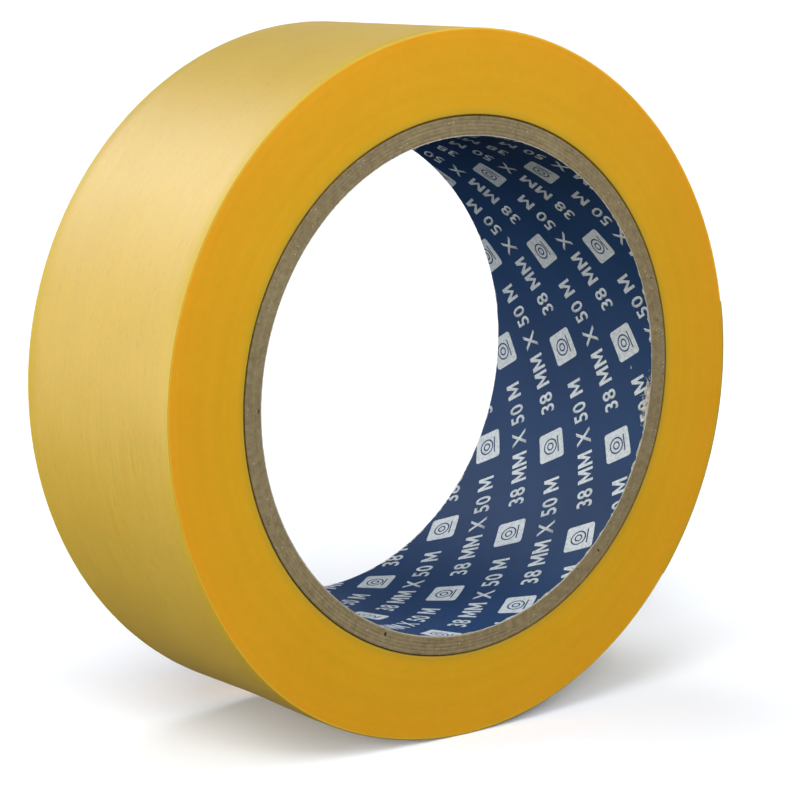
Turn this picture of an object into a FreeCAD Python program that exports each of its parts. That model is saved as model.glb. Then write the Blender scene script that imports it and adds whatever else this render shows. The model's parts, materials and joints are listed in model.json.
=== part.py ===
import FreeCAD, Part
import math
import os

# Roll of masking tape on a spiral-wound board core.
# The roll's axis lies along Y through the origin, and +Z is up.
# The roll stands on its rim, as it does on a shelf, so its lowest point is one radius below the origin.
# Angles are measured about +Y from +X towards +Z.
# Millimetres and degrees throughout.

Vector = FreeCAD.Vector

# Driving dimensions
tape_width = 38.0
tape_length = 50000.0
backing_thickness = 0.052
adhesive_thickness = 0.0256
bore_diameter = 76.2

# Core: a printed liner, five chipboard plies and a thin outer ply
liner_thickness = 0.15
board_thickness = 0.55
board_plies = 5
outer_ply_thickness = 0.20
outer_ply_recess = 0.15

# Each ply is one strip wound at a slant, and its edges meet along a helix
ply_angle = 29.6
seam_gap = 0.3
liner_seam_start = 112.0
seam_stagger = 67.0

# The free end of the tape, which lies on the roll until it is peeled
free_end_angle = 9.6
tail_angle = 49.6
tail_pieces = 6

# Sizes that follow from them
tape_thickness = backing_thickness + adhesive_thickness
bore_radius = bore_diameter / 2
half_width = tape_width / 2
core_radius = bore_radius + liner_thickness + board_plies * board_thickness + outer_ply_thickness
wound_area = tape_length * tape_thickness
roll_radius = math.sqrt(core_radius ** 2 + wound_area / math.pi)
peel_angle = free_end_angle - tail_angle
piece_angle = tail_angle / tail_pieces


def spoke(angle):
    """A unit vector across the roll, pointing out at an angle."""
    turn = math.radians(angle)
    return Vector(math.cos(turn), 0, math.sin(turn))


def at_near_face(shape):
    """Shift a flat outline from the middle plane to the roll's near face."""
    return shape.translated(Vector(0, -half_width, 0))


def arc(centre, radius, start, end):
    """An arc about a centre in the roll's middle plane."""
    middle = (start + end) / 2
    points = [centre + spoke(angle) * radius for angle in (start, middle, end)]
    return Part.Arc(*points).toShape()


def tube(inner_radius, outer_radius, recess=0.0):
    """A tube on the roll's axis, set back from both faces by the recess."""
    start = Vector(0, recess - half_width, 0)
    length = tape_width - 2 * recess
    along = Vector(0, 1, 0)
    outside = Part.makeCylinder(outer_radius, length, start, along)
    inside = Part.makeCylinder(inner_radius, length, start, along)
    return outside.cut(inside)


def seam(inner_radius, outer_radius, start_angle):
    """The helical gap between the two edges of a ply, with room past both faces."""
    overrun = 2.0
    radial_overrun = 0.05
    middle_radius = (inner_radius + outer_radius) / 2
    rise = math.tan(math.radians(ply_angle))
    pitch = 2 * math.pi * middle_radius * rise
    length = tape_width + 2 * overrun
    first_angle = start_angle - 360 * overrun / pitch
    spine = Part.makeHelix(pitch, length, middle_radius, 0, True)
    half_gap = seam_gap / math.cos(math.radians(ply_angle)) / 2
    low = inner_radius - radial_overrun
    high = outer_radius + radial_overrun
    corners = [
        Vector(low, 0, -half_gap),
        Vector(high, 0, -half_gap),
        Vector(high, 0, half_gap),
        Vector(low, 0, half_gap),
    ]
    section = Part.makePolygon(corners + corners[:1])
    gap = Part.Wire(spine.Edges).makePipeShell([section], True, True)
    gap.rotate(Vector(0, 0, 0), Vector(1, 0, 0), -90)
    gap.rotate(Vector(0, 0, 0), Vector(0, 1, 0), -first_angle)
    return gap.translated(Vector(0, -half_width - overrun, 0))


def ply(inner_radius, thickness, seam_start, recess=0.0):
    """One strip of paper or board, wound into a tube with its edges butted."""
    outer_radius = inner_radius + thickness
    gap = seam(inner_radius, outer_radius, seam_start)
    return tube(inner_radius, outer_radius, recess).cut(gap)


def core_parts():
    """The plies of the core, from the printed liner outwards."""
    parts = {"core_liner_ply": ply(bore_radius, liner_thickness, liner_seam_start)}
    inner_radius = bore_radius + liner_thickness
    seam_start = liner_seam_start
    for number in range(1, board_plies + 1):
        seam_start += seam_stagger
        parts[f"core_ply_{number}"] = ply(inner_radius, board_thickness, seam_start)
        inner_radius += board_thickness
    seam_start += seam_stagger
    parts["core_outer_ply"] = ply(inner_radius, outer_ply_thickness, seam_start, outer_ply_recess)
    return parts


def spiral_quarters():
    """The last turn of tape as four arcs, from the peel line round to beneath it.

    The centre steps round a small square, so each arc meets the next one smoothly
    and the radius shrinks by one tape thickness in a full turn.
    """
    step = tape_thickness / 4
    radius = roll_radius
    centre = Vector(0, 0, 0)
    start = peel_angle
    quarters = []
    for _ in range(4):
        end = start - 90
        quarters.append((centre, radius, start, end))
        centre = centre + spoke(end) * step
        radius -= step
        start = end
    return quarters


def windings():
    """Every turn of tape that stays on the core, with a step where the tail lifts off."""
    quarters = spiral_quarters()
    outline = [arc(*quarter) for quarter in quarters]
    outer_centre, outer_radius, _, _ = quarters[0]
    under_centre, under_radius, _, _ = quarters[-1]
    step_top = outer_centre + spoke(peel_angle) * outer_radius
    step_foot = under_centre + spoke(peel_angle) * under_radius
    outline.append(Part.makeLine(step_foot, step_top))
    roll = at_near_face(Part.Face(Part.Wire(outline))).extrude(Vector(0, tape_width, 0))
    hole = Part.makeCylinder(core_radius, tape_width, Vector(0, -half_width, 0), Vector(0, 1, 0))
    return roll.cut(hole)


def tail_length(centre, inner_radius, thickness, start):
    """One short length of the tail's backing or adhesive, curved as it lies on the roll."""
    outer_radius = inner_radius + thickness
    end = start + piece_angle
    outline = [
        arc(centre, inner_radius, start, end),
        Part.makeLine(centre + spoke(end) * inner_radius, centre + spoke(end) * outer_radius),
        arc(centre, outer_radius, end, start),
        Part.makeLine(centre + spoke(start) * outer_radius, centre + spoke(start) * inner_radius),
    ]
    face = Part.Face(Part.Wire(outline))
    return at_near_face(face).extrude(Vector(0, tape_width, 0))


def tail_parts():
    """The tail, as short lengths that hinge on each other from the peel line to the free end."""
    centre, radius, _, _ = spiral_quarters()[-1]
    parts = {}
    for index in range(tail_pieces):
        start = peel_angle + index * piece_angle
        number = index + 1
        parts[f"tail_adhesive_{number}"] = tail_length(centre, radius, adhesive_thickness, start)
        backing_radius = radius + adhesive_thickness
        parts[f"tail_backing_{number}"] = tail_length(centre, backing_radius, backing_thickness, start)
    return parts


def main():
    os.makedirs("parts", exist_ok=True)
    parts = core_parts()
    parts["tape_windings"] = windings()
    parts.update(tail_parts())
    for name, shape in parts.items():
        shape.exportStep(f"parts/{name}.step")
        print(f"{name}: {len(shape.Solids)} solid, valid {shape.isValid()}, {shape.Volume:.1f} mm3")
    print(f"core radius {core_radius:.3f}, roll radius {roll_radius:.3f}")


main()
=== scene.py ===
import json
import math
import random

import bmesh
import bpy
import numpy as np
from mathutils import Matrix, Vector, noise


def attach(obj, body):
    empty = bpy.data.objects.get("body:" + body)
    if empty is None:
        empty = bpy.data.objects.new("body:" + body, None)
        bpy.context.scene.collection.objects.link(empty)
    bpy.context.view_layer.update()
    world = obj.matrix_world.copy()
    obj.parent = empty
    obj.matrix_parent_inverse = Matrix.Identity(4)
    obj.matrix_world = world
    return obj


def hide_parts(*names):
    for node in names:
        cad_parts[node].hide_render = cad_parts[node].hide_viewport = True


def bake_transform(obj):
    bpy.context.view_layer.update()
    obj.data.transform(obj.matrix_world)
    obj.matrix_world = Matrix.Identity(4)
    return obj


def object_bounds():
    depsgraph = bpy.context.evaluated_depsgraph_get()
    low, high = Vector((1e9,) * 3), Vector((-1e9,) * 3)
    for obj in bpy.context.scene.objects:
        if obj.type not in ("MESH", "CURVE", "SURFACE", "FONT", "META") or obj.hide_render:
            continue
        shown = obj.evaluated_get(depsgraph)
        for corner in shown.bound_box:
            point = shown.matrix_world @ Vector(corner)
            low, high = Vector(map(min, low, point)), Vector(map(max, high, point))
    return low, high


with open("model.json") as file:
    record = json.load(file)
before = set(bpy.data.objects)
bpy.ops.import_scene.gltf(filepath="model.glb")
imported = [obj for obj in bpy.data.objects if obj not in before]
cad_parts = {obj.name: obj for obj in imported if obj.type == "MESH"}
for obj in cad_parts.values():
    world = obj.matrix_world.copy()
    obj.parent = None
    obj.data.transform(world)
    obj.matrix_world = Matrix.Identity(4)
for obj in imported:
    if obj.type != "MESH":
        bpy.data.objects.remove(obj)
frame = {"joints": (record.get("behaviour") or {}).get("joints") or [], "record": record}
cad_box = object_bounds()

MM = 0.001

# The roll's sizes, in metres. Its axis is Y, and angles are measured from +X towards +Z.
mounts = {mount["name"]: mount for mount in frame["record"]["mounts"]}
BORE_RADIUS = mounts["core_bore"]["dims"]["r_mm"] * MM
HALF_WIDTH = mounts["core_bore"]["dims"]["length_mm"] * MM / 2
LINER_THICKNESS = 0.15 * MM
BOARD_THICKNESS = 0.55 * MM
BOARD_PLIES = 5
OUTER_PLY_THICKNESS = 0.20 * MM
OUTER_PLY_RECESS = 0.15 * MM
TAPE_THICKNESS = 0.0776 * MM
ADHESIVE_THICKNESS = 0.0256 * MM
INSET = 0.006 * MM  # how far the tape's surfaces lie inside the CAD model's
BOARD_RADIUS = BORE_RADIUS + LINER_THICKNESS
OUTER_PLY_RADIUS = BOARD_RADIUS + BOARD_PLIES * BOARD_THICKNESS
CORE_RADIUS = OUTER_PLY_RADIUS + OUTER_PLY_THICKNESS

# The plies are wound at a slant, so each seam follows a helix across the core.
PLY_ANGLE = math.radians(29.6)
SEAM_GAP = 0.3 * MM
LINER_SEAM_START = 112.0
SEAM_STAGGER = 67.0

# The tail's hinge lines, from the peel line outwards
hinges = [Vector(joint["pos_m"]) for joint in frame["joints"]]
ROLL_RADIUS = hinges[0].length


def angle_of(point):
    """Where a point lies round the roll, in degrees."""
    return math.degrees(math.atan2(point.z, point.x))


PEEL_ANGLE = angle_of(hinges[0])
TAIL_STEP = angle_of(hinges[1]) - PEEL_ANGLE
TAIL_PIECES = len(hinges)
FREE_END_ANGLE = PEEL_ANGLE + TAIL_PIECES * TAIL_STEP


# ---------------- mesh helpers

def around(radius, angle, y):
    """Points on the roll from arrays of radius, angle in degrees and place along the axis."""
    turn = np.radians(angle)
    return np.stack([radius * np.cos(turn), y + 0 * turn, radius * np.sin(turn)], axis=-1)


def add_object(name, data):
    """Put an object of a mesh, a curve, a light or a camera in the scene."""
    made = bpy.data.objects.new(name, data)
    bpy.context.scene.collection.objects.link(made)
    return made


def new_piece(name, points, faces, materials, face_slots=None, sharp=40):
    """A mesh object that stores its rest shape in an attribute, so its texture sticks to it."""
    mesh = bpy.data.meshes.new(name)
    mesh.from_pydata([tuple(p) for p in points], [], faces)
    for material in materials:
        mesh.materials.append(material)
    if face_slots is not None:
        mesh.polygons.foreach_set("material_index", face_slots)
    tidy_mesh(mesh)
    remember_rest(mesh)
    mesh.shade_smooth()
    mesh.set_sharp_from_angle(angle=math.radians(sharp))
    return add_object(name, mesh)


def tidy_mesh(mesh):
    """Weld coincident points, drop faces with no area, and turn every face outwards."""
    weld = 1e-7
    work = bmesh.new()
    work.from_mesh(mesh)
    bmesh.ops.remove_doubles(work, verts=work.verts, dist=weld)
    bmesh.ops.dissolve_degenerate(work, edges=work.edges, dist=weld)
    bmesh.ops.recalc_face_normals(work, faces=work.faces)
    work.to_mesh(mesh)
    work.free()


def remember_rest(mesh):
    """Store each point's place at rest, which the materials read."""
    rest = np.empty(len(mesh.vertices) * 3, np.float32)
    mesh.vertices.foreach_get("co", rest)
    mesh.attributes.new("rest", "FLOAT_VECTOR", "POINT").data.foreach_set("vector", rest)


def loft(count, ring, closed, slots):
    """Faces that join a count of columns, each a closed ring of points, and their material slots.

    With closed, the last column joins the first; otherwise both ends are capped.
    """
    faces, face_slots = [], []
    for i in range(count if closed else count - 1):
        here = i * ring
        there = ((i + 1) % count) * ring
        for j in range(ring):
            after = (j + 1) % ring
            faces.append((here + j, there + j, there + after, here + after))
            face_slots.append(slots[j])
    if not closed:
        for start in (0, (count - 1) * ring):
            for j in range(ring // 2 - 1):
                opposite = ring - 1 - j
                faces.append((start + j, start + j + 1, start + opposite - 1, start + opposite))
                face_slots.append(slots[j])
    return faces, face_slots


# ---------------- materials

WHITE = (1.0, 1.0, 1.0)

# A painted highlight: the lighter line along each rim, where the tape's outside turns to its slit
# face
RIM_HIGHLIGHT_WIDTH = 0.45 * MM
RIM_HIGHLIGHT_COLOUR = (0.59, 0.410, 0.036)
RIM_HIGHLIGHT_FACE_COLOUR = (0.87, 0.585, 0.078)
RIM_ROUNDING = 0.16 * MM

# The torn patch of the liner, on its near edge
TORN_ANGLE = -8.8
TORN_DEPTH = 1.5 * MM
TORN_REACH = 3.9 * MM

# The tape's free end: how far back from its cut edge the painted shade of its step reaches, and how
# unevenly it is cut
END_SHADE_WIDTH = 0.45 * MM
END_UNEVENNESS = 0.35 * MM

# How light spreads under the surface of the wound tape
GLOW = {
    "Subsurface_Weight": 0.45,
    "Subsurface_Radius": (1.0, 0.62, 0.12),
    "Subsurface_Scale": 1.3 * MM,
}

BOARD_SHADES = (1.0, 0.97, 1.02, 0.975, 1.0)
FLOOR_COLOUR = (0.905, 0.935, 0.990, 1.0)  # a little blue, against the yellow light from the tape


def feed(tree, socket, value):
    """Give a node's input a value, or another node's output to link."""
    if isinstance(value, bpy.types.NodeSocket):
        tree.links.new(value, socket)
    else:
        socket.default_value = value


def node(tree, kind, inputs=None, **settings):
    """Add a shader node, with its inputs and settings."""
    made = tree.nodes.new("ShaderNode" + kind)
    for key, value in settings.items():
        setattr(made, key, value)
    for key, value in (inputs or {}).items():
        feed(tree, made.inputs[key], value)
    return made


def new_material(name):
    """A material, its nodes and principled shader, and the output that gives the place at rest."""
    material = bpy.data.materials.new(name)
    material.use_nodes = True
    tree = material.node_tree
    shader = tree.nodes["Principled BSDF"]
    rest = node(tree, "Attribute", attribute_name="rest", attribute_type="GEOMETRY")
    return material, tree, shader, rest.outputs["Vector"]


def scaled(tree, place, x, y, z):
    """The surface's place, stretched by three factors, for a texture of that grain."""
    return node(tree, "VectorMath", {0: place, 1: (x, y, z)}, operation="MULTIPLY").outputs[0]


def grain(tree, place, scale, detail=3.0, roughness=0.55):
    """A noise value from 0 to 1 whose grain is 1/scale metres."""
    inputs = {"Vector": place, "Scale": scale, "Detail": detail, "Roughness": roughness}
    return node(tree, "TexNoise", inputs).outputs["Fac"]


def ramp(tree, value, *stops):
    """Turn a value into a colour through stops of (position, colour)."""
    made = node(tree, "ValToRGB", {"Fac": value})
    elements = made.color_ramp.elements
    while len(elements) < len(stops):
        elements.new(0.5)
    for element, (position, colour) in zip(elements, stops):
        element.position = position
        element.color = (*colour, 1.0)
    return made.outputs["Color"]


def mix(tree, factor, first, second, blend="MIX"):
    """Mix two colours."""
    made = tree.nodes.new("ShaderNodeMix")
    made.data_type = "RGBA"
    made.blend_type = blend
    for name, value in (("Factor_Float", factor), ("A_Color", first), ("B_Color", second)):
        socket = next(s for s in made.inputs if s.identifier == name)
        feed(tree, socket, (*value, 1.0) if isinstance(value, tuple) else value)
    return next(s for s in made.outputs if s.identifier == "Result_Color")


def tinted(tree, colour, amount, value, *stops):
    """Multiply a colour, by some amount, with a ramp of tints."""
    return mix(tree, amount, colour, ramp(tree, value, *stops), "MULTIPLY")


def maths(tree, operation, *values):
    """One step of arithmetic between values."""
    return node(tree, "Math", dict(enumerate(values)), operation=operation).outputs[0]


def spread(tree, value, low, high, bottom=0.0, top=1.0):
    """Stretch a value's range from low..high to bottom..top, and hold it there."""
    inputs = {"Value": value, "From Min": low, "From Max": high, "To Min": bottom, "To Max": top}
    return node(tree, "MapRange", inputs).outputs[0]


def ring_grain(tree, turns, scale):
    """A noise value from 0 to 1 that changes only with the turn of tape."""
    inputs = {"W": turns, "Scale": scale, "Detail": 2.0}
    return node(tree, "TexNoise", inputs, noise_dimensions="1D").outputs["Fac"]


def axis_distance(tree, rest):
    """How far the surface is from the roll's axis, in metres."""
    flat = scaled(tree, rest, 1, 0, 1)
    return node(tree, "VectorMath", {0: flat}, operation="LENGTH").outputs["Value"]


def end_closeness(tree, rest, reach):
    """1 at either cut edge of the roll, falling to 0 at the reach from it."""
    y = node(tree, "SeparateXYZ", {0: rest}).outputs["Y"]
    return spread(tree, maths(tree, "ABSOLUTE", y), HALF_WIDTH - reach, HALF_WIDTH)


def bump(tree, height, distance, strength, under=None):
    """Turn a height from 0 to 1 into relief of so many metres, on top of the relief under it."""
    inputs = {"Height": height, "Distance": distance, "Strength": strength}
    if under is not None:
        inputs["Normal"] = under
    return node(tree, "Bump", inputs).outputs["Normal"]


def finish_shader(tree, shader, colour, roughness, normal=None, **values):
    """Feed the principled shader's inputs."""
    feed(tree, shader.inputs["Base Color"], colour)
    feed(tree, shader.inputs["Roughness"], roughness)
    if normal is not None:
        feed(tree, shader.inputs["Normal"], normal)
    for key, value in values.items():
        feed(tree, shader.inputs[key.replace("_", " ")], value)


def free_end_closeness(tree, rest):
    """1 at the tape's free end, falling to 0 a short way back, where its painted shade lies."""
    place = node(tree, "SeparateXYZ", {0: rest})
    turn = maths(tree, "ARCTAN2", place.outputs["Z"], place.outputs["X"])
    end = math.radians(FREE_END_ANGLE)
    return spread(tree, turn, end - END_SHADE_WIDTH / ROLL_RADIUS, end)


def backing_material(name, glow):
    """Pale yellow saturated paper with a satin face and fine fibres round the roll.

    Each rim has a lighter line of painted highlight. The loose tail has no glow, and its free end
    has a darker line of painted shade.
    """
    material, tree, shader, rest = new_material(name)
    fibres = grain(tree, scaled(tree, rest, 90, 1500, 90), 1.0, 4.0, 0.6)
    flecks = grain(tree, scaled(tree, rest, 900, 2600, 900), 1.0, 2.0)
    clouds = grain(tree, rest, 38, 3.0)
    pale = (0.550, 0.385, 0.053)
    deep = (0.523, 0.357, 0.038)
    colour = ramp(tree, clouds, (0.30, deep), (0.70, pale))
    colour = tinted(tree, colour, 0.8, fibres, (0.30, (0.93, 0.92, 0.88)), (0.62, WHITE))
    colour = tinted(tree, colour, 0.6, flecks, (0.32, (0.88, 0.85, 0.76)), (0.44, WHITE))
    hue = grain(tree, rest, 2600, 3.0, 0.75)
    colour = tinted(tree, colour, 1.0, hue, (0.38, (1.05, 0.935, 0.8)), (0.62, (0.95, 1.035, 1.08)))
    edge = end_closeness(tree, rest, 3.5 * MM)
    edge = maths(tree, "MULTIPLY", edge, edge)
    colour = mix(tree, edge, colour, (0.500, 0.365, 0.029))
    # Painted highlight: a lighter line along each rim of the tape's outside, where the rounded edge
    # catches light.
    colour = mix(tree, end_closeness(tree, rest, RIM_HIGHLIGHT_WIDTH), colour, RIM_HIGHLIGHT_COLOUR)
    # Painted shade: a darker line at the free end, standing for the thin shadow of its step.
    if not glow:
        colour = mix(tree, free_end_closeness(tree, rest), colour, (0.34, 0.205, 0.014))
    roughness = spread(tree, fibres, 0.25, 0.75, 0.36, 0.50)
    gloss = spread(tree, edge, 0.0, 1.0, 0.55, 0.25)
    waves = grain(tree, scaled(tree, rest, 26, 60, 26), 1.0, 1.0)
    normal = bump(tree, waves, 0.30 * MM, 0.8)
    normal = bump(tree, fibres, 0.02 * MM, 0.55, normal)
    normal = bump(tree, flecks, 0.008 * MM, 0.5, normal)
    shine = {"Specular_IOR_Level": gloss, "Sheen_Weight": 0.05}
    finish_shader(tree, shader, colour, roughness, normal, **shine, **glow)
    return material


def wound_edge_material():
    """The slit edges of the turns of tape: orange-yellow, with faint rings and mottling, painted
    shade where they meet the core, and a painted highlight along the rim.
    """
    material, tree, shader, rest = new_material("wound_tape_edge")
    radius = axis_distance(tree, rest)
    turns = maths(tree, "MULTIPLY", radius, 1 / TAPE_THICKNESS)
    fine = ring_grain(tree, turns, 0.45)
    broad = ring_grain(tree, turns, 0.045)
    mottle = grain(tree, rest, 700, 4.0, 0.7)
    clouds = grain(tree, rest, 55, 3.0)
    base = ramp(tree, clouds, (0.30, (0.830, 0.458, 0.018)), (0.70, (0.860, 0.480, 0.022)))
    colour = tinted(tree, base, 0.6, broad, (0.30, (0.95, 0.95, 0.88)), (0.70, WHITE))
    colour = tinted(tree, colour, 0.4, fine, (0.30, (0.94, 0.93, 0.85)), (0.60, WHITE))
    colour = tinted(tree, colour, 0.6, mottle, (0.30, (0.945, 0.93, 0.87)), (0.62, WHITE))
    hue = grain(tree, rest, 2900, 3.0, 0.75)
    colour = tinted(tree, colour, 1.0, hue, (0.38, (1.055, 0.92, 0.78)), (0.62, (0.95, 1.04, 1.10)))
    outward = spread(tree, radius, CORE_RADIUS + 2.0 * MM, ROLL_RADIUS)
    colour = tinted(tree, colour, 1.0, outward, (0.0, (0.98, 1.01, 1.0)), (1.0, (1.03, 0.965, 1.0)))
    near_core = spread(tree, radius, CORE_RADIUS, CORE_RADIUS + 2.0 * MM, 1.0, 0.0)
    near_core = maths(tree, "MULTIPLY", near_core, near_core)
    colour = mix(tree, near_core, colour, (0.60, 0.405, 0.034))
    # Painted shade: the tape darkened to brown next to the core, where the joint between them lies
    # in shadow.
    gap = spread(tree, radius, CORE_RADIUS + 0.04 * MM, CORE_RADIUS + 0.20 * MM, 1.0, 0.0)
    colour = mix(tree, gap, colour, (0.30, 0.17, 0.016))
    # Painted highlight: a lighter line on the slit face along its rounded rim.
    rim_highlight = spread(tree, radius, ROLL_RADIUS - RIM_HIGHLIGHT_WIDTH, ROLL_RADIUS - RIM_ROUNDING)
    colour = mix(tree, rim_highlight, colour, RIM_HIGHLIGHT_FACE_COLOUR)
    normal = bump(tree, fine, 0.012 * MM, 0.6)
    normal = bump(tree, mottle, 0.012 * MM, 0.5, normal)
    roughness = spread(tree, mottle, 0.3, 0.7, 0.50, 0.62)
    finish_shader(tree, shader, colour, roughness, normal, Specular_IOR_Level=0.12, **GLOW)
    return material


def adhesive_material():
    """The sticky side: clear adhesive over yellow paper, with a soft gloss and coating streaks."""
    material, tree, shader, rest = new_material("tape_adhesive")
    peel = grain(tree, scaled(tree, rest, 500, 1400, 500), 1.0, 3.0)
    streaks = grain(tree, scaled(tree, rest, 40, 900, 40), 1.0, 3.0)
    colour = ramp(tree, peel, (0.30, (0.500, 0.335, 0.045)), (0.70, (0.560, 0.395, 0.070)))
    colour = tinted(tree, colour, 0.7, streaks, (0.35, (0.92, 0.90, 0.84)), (0.65, WHITE))
    normal = bump(tree, peel, 0.03 * MM, 0.7)
    roughness = spread(tree, streaks, 0.3, 0.7, 0.38, 0.46)
    finish_shader(tree, shader, colour, roughness, normal, Specular_IOR_Level=0.45)
    return material


def scuffed(tree, rest):
    """1 where the liner's print is gone: unevenly along its cut edges, and in the torn patch."""
    chips = maths(tree, "MULTIPLY", grain(tree, rest, 520, 2.0, 0.5), 2.4)
    fuzz = maths(tree, "MULTIPLY", grain(tree, rest, 2600, 3.0, 0.6), 0.35)
    edge = end_closeness(tree, rest, 0.6 * MM)
    worn = maths(tree, "ADD", edge, maths(tree, "ADD", chips, fuzz))
    chipped = spread(tree, worn, 2.12, 2.20)
    patch = torn_place(tree, rest)
    away = node(tree, "VectorMath", {0: patch}, operation="LENGTH").outputs["Value"]
    flakes = maths(tree, "MULTIPLY", grain(tree, rest, 1100, 3.0, 0.6), 2.2)
    torn = spread(tree, maths(tree, "SUBTRACT", flakes, away), 0.34, 0.42)
    x = node(tree, "SeparateXYZ", {0: patch}).outputs["X"]
    right_side = maths(tree, "GREATER_THAN", x, 0.0)
    return maths(tree, "MAXIMUM", chipped, maths(tree, "MULTIPLY", torn, right_side))


def torn_place(tree, rest):
    """A point's offset from the torn patch, in patch sizes, where X keeps little but its sign."""
    turn = math.radians(TORN_ANGLE)
    middle = (0.0, -HALF_WIDTH, BORE_RADIUS * math.sin(turn))
    offset = node(tree, "VectorMath", {0: rest, 1: middle}, operation="SUBTRACT").outputs[0]
    return scaled(tree, offset, 0.0001, 1 / TORN_DEPTH, 1 / TORN_REACH)


def liner_material():
    """Blue printed paper, scuffed back to bare white fibres along its cut edges."""
    material, tree, shader, rest = new_material("liner_blue_print")
    tooth = grain(tree, rest, 1900, 3.0)
    clouds = grain(tree, rest, 60, 2.0)
    colour = ramp(tree, clouds, (0.30, (0.0125, 0.0405, 0.114)), (0.70, (0.0170, 0.0510, 0.137)))
    colour = tinted(tree, colour, 0.6, tooth, (0.30, (0.72, 0.76, 0.82)), (0.70, WHITE))
    bare = scuffed(tree, rest)
    fibres = grain(tree, rest, 1500, 3.0, 0.6)
    paper = ramp(tree, fibres, (0.36, (0.27, 0.235, 0.17)), (0.60, (0.58, 0.57, 0.52)))
    colour = mix(tree, bare, colour, paper)
    normal = bump(tree, tooth, 0.015 * MM, 0.5)
    normal = bump(tree, bare, 0.05 * MM, 0.6, normal)
    roughness = spread(tree, tooth, 0.3, 0.7, 0.50, 0.64)
    finish_shader(tree, shader, colour, roughness, normal, Specular_IOR_Level=0.12)
    return material


def bare_paper_material():
    """The white paper that shows where the liner is cut or torn."""
    material, tree, shader, rest = new_material("liner_bare_paper")
    fibres = grain(tree, rest, 2200, 4.0, 0.65)
    colour = ramp(tree, fibres, (0.30, (0.42, 0.40, 0.35)), (0.65, (0.68, 0.67, 0.62)))
    normal = bump(tree, fibres, 0.03 * MM, 0.7)
    finish_shader(tree, shader, colour, 0.85, normal)
    return material


def ink_material():
    """Greyish white ink that lets a little of the blue through."""
    material, tree, shader, rest = new_material("liner_white_ink")
    tooth = grain(tree, rest, 1900, 3.0)
    colour = ramp(tree, tooth, (0.28, (0.375, 0.420, 0.485)), (0.60, (0.560, 0.620, 0.645)))
    colour = mix(tree, scuffed(tree, rest), colour, (0.56, 0.55, 0.50))
    finish_shader(tree, shader, colour, 0.5, bump(tree, tooth, 0.01 * MM, 0.4))
    return material


def specked(tree, rest, colour, cells, sizes, patches, picked, speck_colour):
    """Put small round specks on a colour, one to a cell, in the cells that a coarse noise picks."""
    distance = node(tree, "TexVoronoi", {"Vector": rest, "Scale": cells}).outputs["Distance"]
    speck = spread(tree, distance, *sizes, 0.75, 0.0)
    chosen = spread(tree, grain(tree, rest, patches, 1.0), *picked)
    return mix(tree, maths(tree, "MULTIPLY", speck, chosen), colour, speck_colour)


def board_material(name, shade):
    """Grey-brown recycled board, with short fibres, mottling and a few dark and light specks."""
    material, tree, shader, rest = new_material(name)
    mottle = grain(tree, rest, 900, 4.0, 0.65)
    clouds = grain(tree, rest, 120, 3.0)
    fibres = grain(tree, scaled(tree, rest, 700, 700, 2600), 1.0, 3.0, 0.6)
    light = tuple(c * shade for c in (0.340, 0.280, 0.163))
    dark = tuple(c * shade for c in (0.225, 0.180, 0.098))
    colour = ramp(tree, mottle, (0.30, dark), (0.66, light))
    colour = tinted(tree, colour, 0.8, clouds, (0.3, (0.88, 0.87, 0.85)), (0.7, (1.06, 1.05, 1.03)))
    hairs = spread(tree, fibres, 0.66, 0.76, 0.0, 0.25)
    colour = mix(tree, hairs, colour, (0.46, 0.41, 0.31))
    colour = specked(tree, rest, colour, 1400, (0.10, 0.20), 480, (0.50, 0.58), (0.62, 0.58, 0.48))
    colour = specked(tree, rest, colour, 620, (0.07, 0.12), 210, (0.56, 0.60), (0.03, 0.02, 0.012))
    normal = bump(tree, mottle, 0.05 * MM, 0.7)
    normal = bump(tree, fibres, 0.02 * MM, 0.6, normal)
    finish_shader(tree, shader, colour, 0.9, normal, Specular_IOR_Level=0.2)
    return material


def outer_ply_material():
    """The thin dark brown paper round the outside of the core. Its darkness is partly the paper's
    own colour and partly painted shade for the shadowed line between core and tape.
    """
    material, tree, shader, rest = new_material("core_outer_brown_paper_and_shade")
    mottle = grain(tree, rest, 1100, 4.0, 0.6)
    # Dark brown: partly the paper's colour, partly painted shade for the line between core and
    # tape.
    colour = ramp(tree, mottle, (0.30, (0.085, 0.048, 0.018)), (0.70, (0.215, 0.128, 0.052)))
    normal = bump(tree, mottle, 0.03 * MM, 0.6)
    finish_shader(tree, shader, colour, 0.9, normal, Specular_IOR_Level=0.1)
    return material


def lint_material(name, colour):
    """Loose paper fibres."""
    material, tree, shader, rest = new_material(name)
    tone = grain(tree, rest, 1500, 2.0)
    darker = tuple(c * 0.75 for c in colour)
    finish_shader(tree, shader, ramp(tree, tone, (0.3, darker), (0.7, colour)), 0.9)
    return material


def floor_material():
    """A plain, pale, matt floor."""
    material, tree, shader, _ = new_material("studio_floor")
    finish_shader(tree, shader, FLOOR_COLOUR, 0.9, Specular_IOR_Level=0.0)
    return material


def backdrop_material():
    """A plain white wall that glows evenly."""
    material, tree, shader, _ = new_material("studio_backdrop")
    light = {"Emission_Color": (*WHITE, 1.0), "Emission_Strength": 1.0}
    finish_shader(tree, shader, (0.0, 0.0, 0.0, 1.0), 1.0, Specular_IOR_Level=0.0, **light)
    return material


backing = backing_material("wound_backing_paper", GLOW)
loose_backing = backing_material("loose_backing_paper", {})
wound_edge = wound_edge_material()
adhesive = adhesive_material()
liner_blue = liner_material()
bare_paper = bare_paper_material()
white_ink = ink_material()
outer_paper = outer_ply_material()
boards = [board_material(f"core_board_{i + 1}", shade) for i, shade in enumerate(BOARD_SHADES)]
lint_white = lint_material("lint_white", (0.70, 0.68, 0.62))
lint_brown = lint_material("lint_brown", (0.30, 0.24, 0.15))


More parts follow.
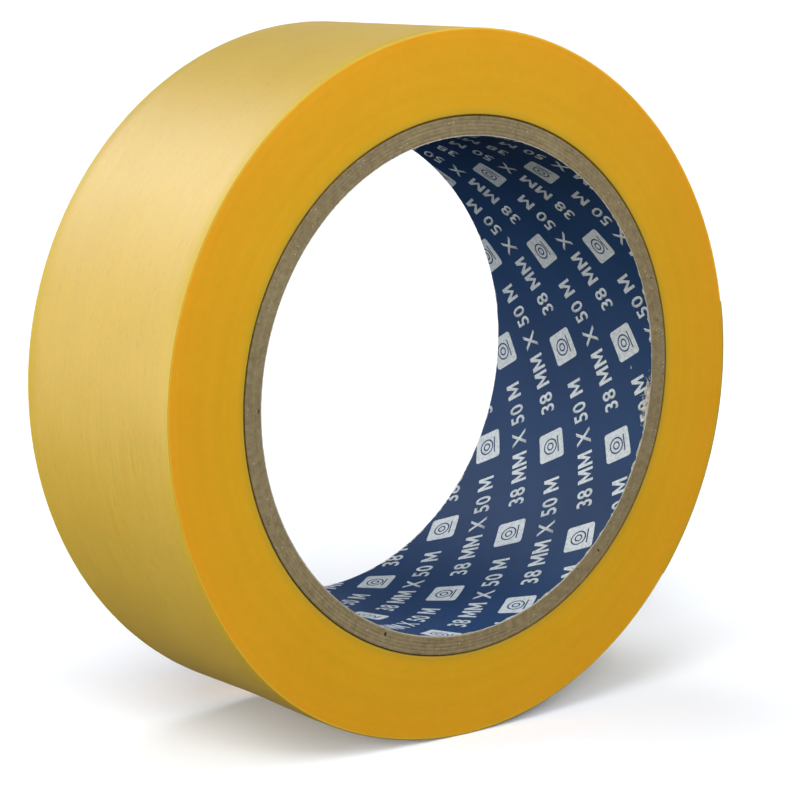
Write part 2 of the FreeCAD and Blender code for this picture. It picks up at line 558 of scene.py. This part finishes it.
# ---------------- camera, floor and lights

# The camera's direction and distance, and the place it looks at, right of the origin and above it
CAMERA_AZIMUTH = -38.16
CAMERA_ELEVATION = 9.69
CAMERA_DISTANCE = 423.62 * MM
CAMERA_AIM = (1.505 * MM, -4.265 * MM)
CAMERA_LENS = 121.75

STUDIO_REACH = 6.5
STUDIO_SIDES = 96
SOFTBOX_WIDTH = math.radians(30)
BOUNCE_COLOUR = (1.06, 0.90, 0.62)
NEAR_PANEL_SIDE = 0.20
NEAR_PANEL_DISTANCE = 0.28

# Azimuth and elevation, as for a camera, and how brightly each light fills a surface that faces it
ROLL_LIGHTS = {
    "roll_front_low": (-25, -12, 0.06),
    "roll_left_low": (-70, -10, 0.21),
    "roll_left_high": (-100, 35, 0.10),
    "roll_left_back": (-125, 0, 0.30),
    "roll_back_left": (-150, 28, 0.23),
    "roll_back": (-165, 40, 0.29),
    "roll_right": (60, 40, 0.70),
    "roll_right_back": (106, 12, 0.50),
}
NEAR_LIGHTS = {
    "near_front_high": (-20, 45, 0.365),
    "near_left_high": (-60, 35, 0.09),
    "near_left": (-95, 0, 0.33),
}
FLOOR_LIGHTS = {
    "floor_front": (-38, 15, 0.75),
    "floor_front_high": (-10, 35, 0.29),
    "floor_left_high": (-55, 50, 0.46),
    "floor_left_back": (-110, 12, 0.72),
    "floor_right": (60, 40, 0.12),
    "floor_top": (0, 65, 0.08),
    "floor_back": (180, 65, 0.24),
}


def camera_back(azimuth, elevation):
    """The direction from the object to a camera. Azimuth 0 looks along +Y."""
    a, e = math.radians(azimuth), math.radians(elevation)
    return Vector((math.sin(a) * math.cos(e), -math.cos(a) * math.cos(e), math.sin(e)))


def make_camera():
    """A long-lens view of the near face from the left and a little above."""
    back = camera_back(CAMERA_AZIMUTH, CAMERA_ELEVATION)
    right = Vector((0, 0, 1)).cross(back).normalized()
    up = back.cross(right)
    data = bpy.data.cameras.new("camera")
    data.sensor_width = 36.0
    data.lens = CAMERA_LENS
    camera = add_object("camera", data)
    aim = right * CAMERA_AIM[0] + up * CAMERA_AIM[1]
    turned = Matrix((right, up, back)).transposed().to_4x4()
    camera.matrix_world = Matrix.Translation(aim + back * CAMERA_DISTANCE) @ turned
    bpy.context.scene.camera = camera


def add_light(name, data, azimuth, elevation, distance, receivers):
    """Place a light in a direction given as for a camera, where it lights only its receivers."""
    back = camera_back(azimuth, elevation)
    light = add_object(name, data)
    light.location = back * distance
    light.rotation_mode = "QUATERNION"
    light.rotation_quaternion = back.to_track_quat("Z", "Y")
    light.light_linking.receiver_collection = receivers
    light.visible_camera = False


def soft_sun(name, azimuth, elevation, strength, receivers):
    """A far softbox. One below the floor stands for the light it bounces, warmed by the tape."""
    data = bpy.data.lights.new(name, "SUN")
    data.energy = math.pi * strength
    data.angle = SOFTBOX_WIDTH
    if elevation < 0:
        data.color = BOUNCE_COLOUR
    add_light(name, data, azimuth, elevation, 0.0, receivers)


def near_panel(name, azimuth, elevation, strength, receivers):
    """A square panel close to the roll, whose light falls off across it."""
    data = bpy.data.lights.new(name, "AREA")
    data.shape = "SQUARE"
    data.size = NEAR_PANEL_SIDE
    data.energy = math.pi ** 2 * NEAR_PANEL_DISTANCE ** 2 * strength
    add_light(name, data, azimuth, elevation, NEAR_PANEL_DISTANCE, receivers)


def make_world():
    """Soft light from the sides all round, and none from above or below."""
    world = bpy.data.worlds.new("studio")
    bpy.context.scene.world = world
    world.use_nodes = True
    tree = world.node_tree
    tree.nodes.clear()
    direction = node(tree, "TexCoord").outputs["Generated"]
    height = node(tree, "SeparateXYZ", {0: direction}).outputs["Z"]
    dark, bright = (0.01, 0.01, 0.01), (0.35, 0.35, 0.35)
    upwards = spread(tree, height, -1.0, 1.0)
    colour = ramp(tree, upwards, (0.495, dark), (0.505, bright), (0.70, bright), (0.72, dark))
    background = node(tree, "Background", {"Color": colour, "Strength": 1.0})
    node(tree, "OutputWorld", {"Surface": background.outputs[0]})


def studio_ring(height):
    """Points all round the studio at one height."""
    turns = [2 * math.pi * i / STUDIO_SIDES for i in range(STUDIO_SIDES)]
    return [(STUDIO_REACH * math.cos(t), STUDIO_REACH * math.sin(t), height) for t in turns]


def make_floor(height):
    """A wide flat disc."""
    points = [(0, 0, height)] + studio_ring(height)
    faces = [(0, 1 + i, 1 + (i + 1) % STUDIO_SIDES) for i in range(STUDIO_SIDES)]
    return stage_piece("studio_floor", points, faces, floor_material())


def make_backdrop(height):
    """A wall all round the studio, rising from the floor, and its ceiling."""
    points = studio_ring(height) + studio_ring(height + STUDIO_REACH)
    faces = [tuple(range(STUDIO_SIDES, 2 * STUDIO_SIDES))]
    for i in range(STUDIO_SIDES):
        j = (i + 1) % STUDIO_SIDES
        faces.append((i, STUDIO_SIDES + i, STUDIO_SIDES + j, j))
    stage_piece("studio_backdrop", points, faces, backdrop_material())


def stage_piece(name, points, faces, material):
    """Part of the studio, not of the object. The camera sees it, but it doesn't light the roll."""
    mesh = bpy.data.meshes.new(name)
    mesh.from_pydata(points, [], faces)
    mesh.materials.append(material)
    piece = add_object(name, mesh)
    for ray in ("diffuse", "glossy", "transmission", "shadow"):
        setattr(piece, "visible_" + ray, False)
    return piece


def make_studio():
    """The floor, the backdrop, the lights on the roll, and those on the floor for its shadow."""
    floor = make_floor(cad_box[0].z)
    make_backdrop(cad_box[0].z)
    on_floor = bpy.data.collections.new("lit_floor")
    on_floor.objects.link(floor)
    on_roll = bpy.data.collections.new("lit_roll")
    on_roll.objects.link(floor)
    on_roll.collection_objects[0].light_linking.link_state = "EXCLUDE"
    for name, values in ROLL_LIGHTS.items():
        soft_sun(name, *values, on_roll)
    for name, values in NEAR_LIGHTS.items():
        near_panel(name, *values, on_roll)
    for name, values in FLOOR_LIGHTS.items():
        soft_sun(name, *values, on_floor)
    bpy.context.scene.view_settings.view_transform = "Standard"


make_camera()
make_world()
make_studio()


# ---------------- the wound tape

# Where the near edge is out of round: its middle and its reach each way round the roll, in degrees
FLARE_ANGLE = 233
FLARE_REACH = 31
FLARE_DEPTH = 26 * MM
FLARE_HEIGHT = 0.66 * MM

# The slit faces: their rings, how deep their recesses and rounding go, and how far they wave
FACE_RINGS = 60
FACE_DEPTH = 0.2 * MM
WIND_WAVE = 0.012 * MM
RIM_STEPS = 3


def wound_radius(angle):
    """The radius of the tape's outside, one thickness less after each turn from the peel line."""
    turn = (PEEL_ANGLE - angle) / 360
    return ROLL_RADIUS - TAPE_THICKNESS * turn


def fade(shares):
    """1 at a share of 0, falling smoothly to 0 at a share of 1, and 0 beyond it."""
    return 0.5 + 0.5 * np.cos(math.pi * np.minimum(shares, 1.0))


def flare(angles, ys):
    """How far the wound tape stands out of round at its near edge, where its tension was lower."""
    away = np.abs((angles - FLARE_ANGLE + 180) % 360 - 180)
    return FLARE_HEIGHT * fade(away / FLARE_REACH) * fade((ys + HALF_WIDTH) / FLARE_DEPTH)


def add_flare(mesh):
    """Move the tape's points out where it isn't round. Its texture keeps their old places."""
    places = np.array([v.co for v in mesh.vertices])
    x, y, z = places.T
    radii = np.hypot(x, z)
    slack = ((radii - CORE_RADIUS) / (ROLL_RADIUS - CORE_RADIUS)) ** 3
    growth = 1 + slack * flare(np.degrees(np.arctan2(z, x)), y) / radii
    mesh.vertices.foreach_set("co", np.stack([x * growth, y, z * growth], axis=-1).ravel())
    mesh.update()


def smooth_random(seed, x, scale):
    """A smooth random value near -1 to 1 that depends on x and a seed."""
    return noise.noise(Vector((x * scale, seed * 17.31, 4.7)))


def face_profile():
    """The near face's section: (radius, recess, share of the spiral) from the core to the rim."""
    edge = 0.12 * MM
    rim = RIM_ROUNDING
    first = CORE_RADIUS + edge
    last = ROLL_RADIUS - TAPE_THICKNESS - rim * 2.5
    inner_edge = ((0.0, 0.13 * MM), (0.4, 0.06 * MM), (0.8, 0.02 * MM))
    profile = [(CORE_RADIUS + edge * share, recess, 0.0) for share, recess in inner_edge]
    for i in range(FACE_RINGS):
        radius = first + (last - first) * i / (FACE_RINGS - 1)
        height = smooth_random(3, radius, 3100) * 0.5 + smooth_random(5, radius, 900) * 0.8
        profile.append((radius, (0.010 + 0.007 * height) * MM, 0.0))
    profile.append((ROLL_RADIUS - rim * 1.6, INSET, 1.0))
    for i in range(RIM_STEPS + 1):
        turn = math.pi / 2 * i / RIM_STEPS
        radius = ROLL_RADIUS - rim + rim * math.sin(turn)
        profile.append((radius, INSET + rim * (1 - math.cos(turn)), 1.0))
    return profile


def make_windings():
    """The tape wound on the core: one closed mesh with a step at the peel line."""
    face = face_profile()
    across = 14
    start_y = HALF_WIDTH - face[-1][1]
    rows = [(radius, recess - HALF_WIDTH, share) for radius, recess, share in face]
    rows += [(ROLL_RADIUS, -start_y + 2 * start_y * i / across, 1.0) for i in range(1, across)]
    rows += [(radius, HALF_WIDTH - recess, share) for radius, recess, share in reversed(face)]
    outside_start = len(face) - 1 - RIM_STEPS
    outside_end = len(rows) - 1 - outside_start
    slots = [0 if outside_start <= j < outside_end else 1 for j in range(len(rows))]
    radii, ys, shares = np.array(rows).T
    columns = 480
    points = []
    for i in range(columns + 1):
        angle = PEEL_ANGLE - 360 * i / columns
        outside = wound_radius(angle) - ROLL_RADIUS
        points.append(around(radii + shares * outside, np.full(len(rows), angle), ys))
    points = np.concatenate(points)
    wave = np.array([wind_wave(p) for p in points])
    on_a_face = np.abs(points[:, 1]) > HALF_WIDTH - FACE_DEPTH
    points[:, 1] -= np.sign(points[:, 1]) * wave * on_a_face
    faces, face_slots = loft(columns + 1, len(rows), True, slots)
    piece = new_piece("wound_tape", points, faces, [backing, wound_edge], face_slots, sharp=50)
    add_flare(piece.data)
    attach(piece, "roll")
    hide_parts("tape_windings")


def wind_wave(point):
    """How far a point of a slit face lies behind the flat, from uneven winding."""
    return WIND_WAVE * (0.5 + 0.5 * noise.noise(Vector(point) * 70))


def tail_row(radius_in, radius_out, angles, ys):
    """One closed ring across the tail: out along its top and back along its underside."""
    top = around(np.full(len(ys), radius_out), angles, ys)
    under = around(np.full(len(ys), radius_in), angles[::-1], ys[::-1])
    return np.concatenate([top, under])


def cut_back(ys):
    """How far short of a straight line the free end is cut, in degrees."""
    waves = [0.5 + 0.3 * smooth_random(11, y, 160) + 0.2 * smooth_random(12, y, 900) for y in ys]
    return np.degrees(np.array(waves) * END_UNEVENNESS / ROLL_RADIUS)


def make_tail_piece(name, layer, start, end, material, free_end=False):
    """A length of the tail's backing or adhesive, between two angles."""
    steps = round((end - start) / 0.75)
    ys = np.linspace(INSET - HALF_WIDTH, HALF_WIDTH - INSET, 61)
    ring = 2 * len(ys)
    points = []
    for i in range(steps + 1):
        angle = start + (end - start) * i / steps
        under = wound_radius(angle - 360)
        angles = np.full(len(ys), angle)
        if free_end and i == steps:
            angles -= cut_back(ys)
        points.append(tail_row(under + layer[0], under + layer[1], angles, ys))
    faces, face_slots = loft(steps + 1, ring, False, [0] * ring)
    return new_piece(name, np.concatenate(points), faces, [material], face_slots)


def make_tail():
    """The peeling end: each piece spans a hinge, and the last one is stiff."""
    layers = {
        "adhesive": ((0.0, ADHESIVE_THICKNESS), adhesive, "tape_adhesive"),
        "backing": ((ADHESIVE_THICKNESS, TAPE_THICKNESS - INSET), loose_backing, "tape_backing"),
    }
    bodies = ["roll"] + [f"tail_{i + 1}" for i in range(TAIL_PIECES)]
    for layer_name, (layer, material, slot) in layers.items():
        for i, joint in enumerate(frame["joints"]):
            hinge = PEEL_ANGLE + i * TAIL_STEP
            start = hinge - TAIL_STEP / 2 if i else hinge
            end = hinge + TAIL_STEP / 2
            piece = make_tail_piece(f"tail_{layer_name}_bend_{i + 1}", layer, start, end, material)
            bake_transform(piece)
            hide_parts(f"tail_{layer_name}_{i + 1}")
        start, end = FREE_END_ANGLE - TAIL_STEP / 2, FREE_END_ANGLE
        piece = make_tail_piece(f"tail_{layer_name}_end", layer, start, end, material,
                                free_end=True)
        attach(piece, bodies[-1])


# ---------------- the core

def ply_rows(inner, outer, recess, chamfer, across):
    """A column of a ply: (radius, y, which end) out along its inside and back along its outside."""
    end = HALF_WIDTH - recess
    ys = np.linspace(-end + chamfer, end - chamfer, across)
    rows = [(inner + chamfer, -end, -1)]
    rows += [(inner, y, 0) for y in ys]
    rows += [(inner + chamfer, end, 1), (outer - chamfer, end, 1)]
    rows += [(outer, y, 0) for y in ys[::-1]]
    rows += [(outer - chamfer, -end, -1)]
    return rows


def make_ply(name, inner, thickness, seam_start, materials,
             recess=0.0, chamfer=0.03 * MM, ragged=0.04 * MM, across=22):
    """A strip wound into a tube, with its seam open along a helix and its cut ends a little ragged.

    Its materials are the paper's, and that of its cut ends if it differs.
    """
    outer = inner + thickness
    rows = ply_rows(inner, outer, recess, chamfer, across)
    ring = len(rows)
    radii, ys, ends = np.array(rows).T
    middle = (inner + outer) / 2
    shear = math.degrees(1 / (middle * math.tan(PLY_ANGLE)))
    gap = math.degrees(SEAM_GAP / math.sin(PLY_ANGLE) / middle)
    columns = 400
    seed = sum(map(ord, name))
    points = []
    for i in range(columns + 1):
        angle = seam_start + gap / 2 + (360 - gap) * i / columns
        angles = angle + shear * (ys + HALF_WIDTH)
        column = around(radii, angles, ys)
        for j in np.nonzero(ends)[0]:
            place = Vector(column[j])
            coarse = noise.noise(place * 900 + Vector((seed, 0, 0)))
            rough = 0.6 * coarse + 0.4 * noise.noise(place * 2500)
            column[j, 1] -= ends[j] * ragged * (0.5 + 0.5 * rough)
        points.append(column)
    cut_slot = len(materials) - 1
    slots = [cut_slot if j == 0 or j >= ring // 2 - 1 else 0 for j in range(ring)]
    faces, face_slots = loft(columns + 1, ring, False, slots)
    piece = new_piece(name, np.concatenate(points), faces, materials, face_slots, sharp=50)
    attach(piece, "roll")
    return piece


def make_core():
    """The printed liner, the five board plies and the brown outer ply."""
    liner = make_ply("core_liner", BORE_RADIUS, LINER_THICKNESS, LINER_SEAM_START,
                     [liner_blue, bare_paper], chamfer=0.05 * MM, ragged=0.16 * MM, across=84)
    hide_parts("core_liner_ply")
    inner = BOARD_RADIUS
    seam_start = LINER_SEAM_START
    for i in range(BOARD_PLIES):
        seam_start += SEAM_STAGGER
        ply = make_ply(f"core_board_ply_{i + 1}", inner, BOARD_THICKNESS, seam_start, [boards[i]])
        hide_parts(f"core_ply_{i + 1}")
        inner += BOARD_THICKNESS
    seam_start += SEAM_STAGGER
    outer = make_ply("core_outer_paper", inner, OUTER_PLY_THICKNESS, seam_start, [outer_paper],
                     recess=OUTER_PLY_RECESS)
    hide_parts("core_outer_ply")


# ---------------- the liner's print

# The print runs along the strip in rows: a size legend, then a tile with a picture of a roll.
PRINT_PERIOD = 35.53 * MM
ROW_SPACING = 7.135 * MM
ROW_SHIFT = 15.14 * MM
TILE_ANGLE = -49.7
TILE_Y = -0.25 * MM
TILE_SIDE = 5.2 * MM
LEGEND_LENGTH = 23.2 * MM
LEGEND_HEIGHT = 3.1 * MM
INK_HEIGHT = 0.012 * MM
INK_DEPTH = 0.004 * MM  # how far it reaches into the paper

# Rows and columns each way from the first tile, more than the strip holds. The rest are left out.
PRINT_ROWS = 26
PRINT_COLUMNS = 18


def flat_mesh(curve):
    """The filled shape of a flat curve or text, as a mesh."""
    shape = add_object("shape", curve)
    bpy.context.view_layer.update()
    evaluated = shape.evaluated_get(bpy.context.evaluated_depsgraph_get())
    mesh = bpy.data.meshes.new_from_object(evaluated)
    bpy.data.objects.remove(shape)
    return mesh


def filled(*outlines):
    """The flat mesh inside closed outlines. An outline within another one is a hole in it."""
    curve = bpy.data.curves.new("outlines", "CURVE")
    curve.dimensions = "2D"
    curve.fill_mode = "BOTH"
    for points in outlines:
        spline = curve.splines.new("POLY")
        spline.points.add(len(points) - 1)
        for target, (x, y) in zip(spline.points, points):
            target.co = (x, y, 0, 1)
        spline.use_cyclic_u = True
    return flat_mesh(curve)


def letters(text):
    """Plain bold letters as a flat mesh, one unit high, starting at the left."""
    curve = bpy.data.curves.new("letters", "FONT")
    curve.body = text
    curve.resolution_u = 3
    curve.offset = 0.018
    curve.space_character = 1.08
    mesh = flat_mesh(curve)
    low, high = extent(mesh)
    mesh.transform(Matrix.Scale(1 / (high.y - low.y), 4) @ Matrix.Translation(-low))
    return mesh


def letter_m():
    """A bold capital M, one unit high, starting at the left."""
    wide, stem, shoulder = 1.0, 0.19, 0.24
    notch, waist, foot = 0.40, 0.60, 0.10
    half = [(0, 0), (stem, 0), (stem, waist), (wide / 2, foot)]
    top = [(wide - shoulder, 1), (wide / 2, notch), (shoulder, 1), (0, 1)]
    return filled(half + [(wide - stem, waist), (wide - stem, 0), (wide, 0), (wide, 1)] + top)


def extent(mesh):
    """The lowest and highest corners of a mesh."""
    corners = np.array([v.co for v in mesh.vertices])
    return Vector(corners.min(0)), Vector(corners.max(0))


def legend_mesh():
    """The roll's size in plain bold capitals, centred, at its real size."""
    close, word = 0.17, 0.52
    parts = [(letters("38"), word), (letter_m(), close), (letter_m(), word), (letters("X"), word),
             (letters("50"), word), (letter_m(), 0.0)]
    work = bmesh.new()
    start = 0.0
    for mesh, gap in parts:
        low, high = extent(mesh)
        mesh.transform(Matrix.Translation((start - low.x, 0, 0)))
        work.from_mesh(mesh)
        start += high.x - low.x + gap
    scale = (LEGEND_LENGTH / start, LEGEND_HEIGHT, 1, 1)
    work.transform(Matrix.Diagonal(scale) @ Matrix.Translation((-start / 2, -0.5, 0)))
    mesh = bpy.data.meshes.new("legend")
    work.to_mesh(mesh)
    work.free()
    return mesh


def circle(radius, height):
    """Points round a circle, whose centre is above the origin by a height."""
    sides = 40
    turns = [2 * math.pi * i / sides for i in range(sides)]
    return [(radius * math.cos(turn), height + radius * math.sin(turn)) for turn in turns]


def rounded_square(side, corner):
    """Points round a square with round corners."""
    points = []
    reach = side / 2 - corner
    steps = 6
    for quarter, (sx, sy) in enumerate(((1, 1), (-1, 1), (-1, -1), (1, -1))):
        for i in range(steps + 1):
            turn = math.pi / 2 * (quarter + i / steps)
            x, y = corner * math.cos(turn), corner * math.sin(turn)
            points.append((sx * reach + x, sy * reach + y))
    return points


def tile_mesh():
    """A rounded tile with a line picture of a roll of tape left open in it."""
    line = 0.26 * MM
    roll = 1.45 * MM
    core = 0.72 * MM
    lift = 0.25 * MM
    foot = lift - roll - 0.12 * MM
    circles = [circle(radius, lift) for radius in (roll, roll - line, core, core - line)]
    ground = [(-roll, foot - line), (roll, foot - line), (roll, foot), (-roll, foot)]
    return filled(rounded_square(TILE_SIDE, 0.55 * MM), *circles, ground)


def cut(work, point, normal, drop=False):
    """Cut a flat mesh along a line, and drop what lies beyond it if asked."""
    geometry = work.verts[:] + work.edges[:] + work.faces[:]
    bmesh.ops.bisect_plane(work, geom=geometry, dist=1e-8, plane_co=point, plane_no=normal,
                           clear_outer=drop)


def sliced(mesh, direction, step):
    """Cut a flat mesh into narrow strips, so it can be wrapped round the bore."""
    work = bmesh.new()
    work.from_mesh(mesh)
    reach = [v.co.dot(direction) for v in work.verts]
    place = math.ceil(min(reach) / step) * step
    while place < max(reach):
        cut(work, direction * place, direction)
        place += step
    work.to_mesh(mesh)
    work.free()
    return mesh


def print_places():
    """Where the tiles and the legends lie, in metres round the bore and along it."""
    along = Vector((math.cos(PLY_ANGLE), math.sin(PLY_ANGLE), 0))
    across = Vector((-math.sin(PLY_ANGLE), math.cos(PLY_ANGLE), 0))
    first = Vector((math.radians(TILE_ANGLE) * BORE_RADIUS, TILE_Y, 0))
    tiles, legends = [], []
    for row in range(-PRINT_ROWS, PRINT_ROWS + 1):
        for column in range(-PRINT_COLUMNS, PRINT_COLUMNS + 1):
            shift = PRINT_PERIOD * column - ROW_SHIFT * row
            tile = first + across * ROW_SPACING * row + along * shift
            tiles.append(tile)
            legends.append(tile - along * PRINT_PERIOD / 2)
    return tiles, legends


def make_print():
    """The legends and tiles that fall on the strip, cut at its edges and wrapped round the bore."""
    slant = Matrix.Rotation(PLY_ANGLE, 4, "Z")
    strip_width = 0.8 * MM
    local = slant.inverted().to_3x3() @ Vector((1, 0, 0))
    tile = sliced(tile_mesh(), local, strip_width)
    legend = sliced(legend_mesh(), local, strip_width)
    margin = 14 * MM
    seam_foot = Vector((math.radians(LINER_SEAM_START - 360) * BORE_RADIUS, -HALF_WIDTH, 0))
    seam_normal = Vector((-math.sin(PLY_ANGLE), math.cos(PLY_ANGLE), 0))
    one_turn = Vector((2 * math.pi * BORE_RADIUS, 0, 0))
    first, last = seam_foot.x - margin, seam_foot.x + 2 * one_turn.x
    work = bmesh.new()
    for master, places in zip((tile, legend), print_places()):
        for place in places:
            if abs(place.y) > HALF_WIDTH + margin or not first < place.x < last:
                continue
            copy = master.copy()
            copy.transform(Matrix.Translation(place) @ slant)
            work.from_mesh(copy)
            bpy.data.meshes.remove(copy)
    trim = 0.04 * MM
    gap = SEAM_GAP / 2 + trim
    for side in (1, -1):
        cut(work, Vector((0, side * (HALF_WIDTH - trim), 0)), Vector((0, side, 0)), drop=True)
    cut(work, seam_foot - seam_normal * gap, seam_normal, drop=True)
    cut(work, seam_foot + one_turn + seam_normal * gap, -seam_normal, drop=True)
    thicken_and_wrap(work)
    mesh = bpy.data.meshes.new("liner_print")
    work.to_mesh(mesh)
    work.free()
    mesh.materials.append(white_ink)
    tidy_mesh(mesh)
    remember_rest(mesh)
    piece = add_object("liner_print", mesh)
    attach(piece, "roll")


def thicken_and_wrap(work):
    """Give the flat print its ink height, then bend it round the bore."""
    made = bmesh.ops.extrude_face_region(work, geom=work.faces[:], use_keep_orig=True)
    for element in made["geom"]:
        if isinstance(element, bmesh.types.BMVert):
            element.co.z += INK_HEIGHT
    for vertex in work.verts:
        angle = vertex.co.x / BORE_RADIUS
        radius = BORE_RADIUS + INK_DEPTH - vertex.co.z
        vertex.co = (radius * math.cos(angle), vertex.co.y, radius * math.sin(angle))


# ---------------- torn paper and lint

def fibre(points, radius):
    """A thin tube through a few points, as points and faces."""
    sides = 5
    made, faces = [], []
    for i, point in enumerate(points):
        before = points[max(i - 1, 0)]
        after = points[min(i + 1, len(points) - 1)]
        along = (after - before).normalized()
        side = along.orthogonal().normalized()
        other = along.cross(side)
        width = radius * (0.45 if i in (0, len(points) - 1) else 1.0)
        for j in range(sides):
            turn = 2 * math.pi * j / sides
            made.append(point + side * width * math.cos(turn) + other * width * math.sin(turn))
    for i in range(len(points) - 1):
        for j in range(sides):
            k = (j + 1) % sides
            faces.append((i * sides + j, i * sides + k, (i + 1) * sides + k, (i + 1) * sides + j))
    faces.append(tuple(range(sides))[::-1])
    faces.append(tuple(range((len(points) - 1) * sides, len(points) * sides)))
    return made, faces


def curl(source, start, heading, length, lift):
    """The points of a short, bent fibre."""
    points = [start]
    for _ in range(4):
        bend = Vector([source.uniform(-1, 1) for _ in range(3)]) * 0.55
        heading = (heading + bend + lift).normalized()
        points.append(points[-1] + heading * length / 4)
    return points


def ring_and_inwards(angle):
    """The directions round the roll and in towards its axis, at an angle."""
    turn = math.radians(angle)
    x, z = math.cos(turn), math.sin(turn)
    return Vector((-z, 0, x)), Vector((-x, 0, -z))


def add_fibres(name, parts, material):
    """Make one piece of many fibres, each with its own points and faces."""
    points, faces = [], []
    for part_points, part_faces in parts:
        start = len(points)
        points += part_points
        faces += [tuple(start + i for i in face) for face in part_faces]
    piece = new_piece(name, points, faces, [material])
    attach(piece, "roll")


def make_lint(name, seed, count, side, material):
    """Short paper fibres standing on one of the core's cut ends: side -1 is the near one."""
    source = random.Random(seed)
    root = side * (HALF_WIDTH - 0.10 * MM)
    limit = side * (HALF_WIDTH - 0.03 * MM)
    parts = []
    for _ in range(count):
        angle = source.uniform(0, 360)
        radius = source.uniform(BORE_RADIUS + 0.1 * MM, OUTER_PLY_RADIUS)
        start = Vector(around(radius, np.float64(angle), root))
        ring, inwards = ring_and_inwards(angle)
        heading = ring * source.choice((-1, 1)) + inwards * source.uniform(-0.6, 0.9)
        length = source.uniform(0.25, 0.75) * MM
        points = curl(source, start, heading, length, Vector((0, side * 0.12, 0)))
        for point in points:
            point.y = min(point.y, limit) if side > 0 else max(point.y, limit)
        parts.append(fibre(points, source.uniform(0.010, 0.020) * MM))
    add_fibres(name, parts, material)


def make_fray():
    """The liner's edge where it has torn on the near side: shreds and fibres of bare paper."""
    source = random.Random(41)
    parts = []
    for _ in range(80):
        spread_out = source.gauss(0, 1)
        angle = TORN_ANGLE + 3.2 * spread_out
        depth = abs(source.gauss(0, 0.75)) * MM * max(0.15, 1 - abs(spread_out) / 3)
        y = depth - HALF_WIDTH + 0.05 * MM
        start = Vector(around(BORE_RADIUS - 0.02 * MM, np.float64(angle), y))
        ring, inwards = ring_and_inwards(angle)
        heading = ring * source.uniform(-1, 1) + inwards * 0.25
        heading.y = source.uniform(-0.7, 0.7)
        points = curl(source, start, heading, source.uniform(0.3, 1.0) * MM, inwards * 0.05)
        for point in points:
            point.y = max(point.y, 0.04 * MM - HALF_WIDTH)
        parts.append(fibre(points, source.uniform(0.012, 0.030) * MM))
    add_fibres("liner_fray", parts, lint_white)


make_windings()
make_tail()
make_core()
make_print()
make_fray()
make_lint("core_lint_near", 7, 170, -1, lint_white)
make_lint("core_lint_far", 8, 170, 1, lint_white)
make_lint("core_lint_brown", 9, 120, -1, lint_brown)
